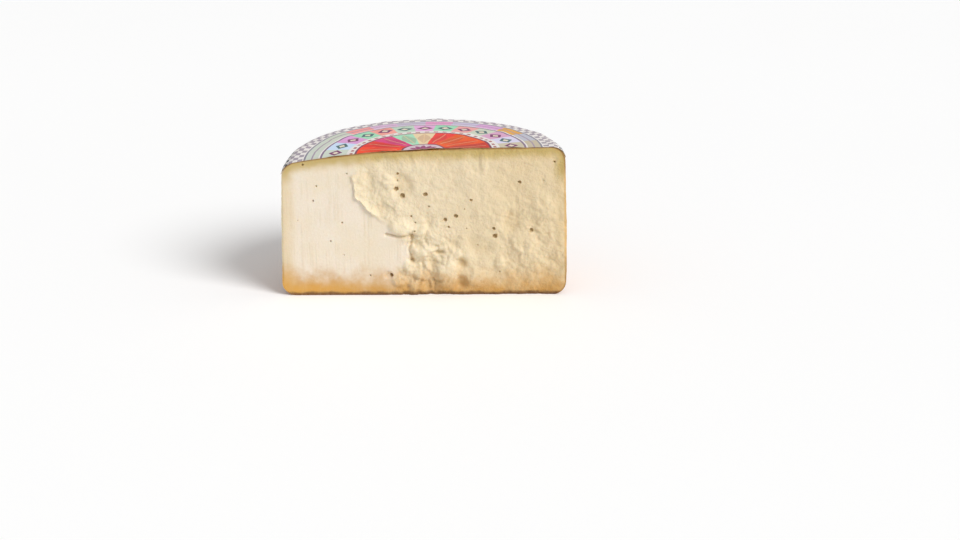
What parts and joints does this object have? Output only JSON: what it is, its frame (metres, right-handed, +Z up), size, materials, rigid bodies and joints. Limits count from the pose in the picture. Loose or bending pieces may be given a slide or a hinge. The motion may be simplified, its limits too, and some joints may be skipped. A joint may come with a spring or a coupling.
{
  "type": "half wheel of pecorino cheese",
  "caption": "Half a wheel of semi-hard sheep's milk cheese with a craggy cut face, a golden rind and a printed paper over its top, standing on its base.",
  "frame": {"origin": "on the surface that it stands on, under the middle of the bounding box", "axes": "+X along the cut, +Y from the cut to the round back, +Z up"},
  "size_m": [0.19, 0.0974, 0.1017],
  "materials": {
    "cheese": "ivory cheese paste, smooth where a knife cut it and crumbly where it broke, with a golden-brown rind",
    "printed_paper": "thin coated paper printed with plain rings and fields of red, lilac, mint, gold and dark teal"
  },
  "bodies": {
    "root": {"half_wheel": "cheese", "top_label": "printed_paper"}
  },
  "joints": []
}
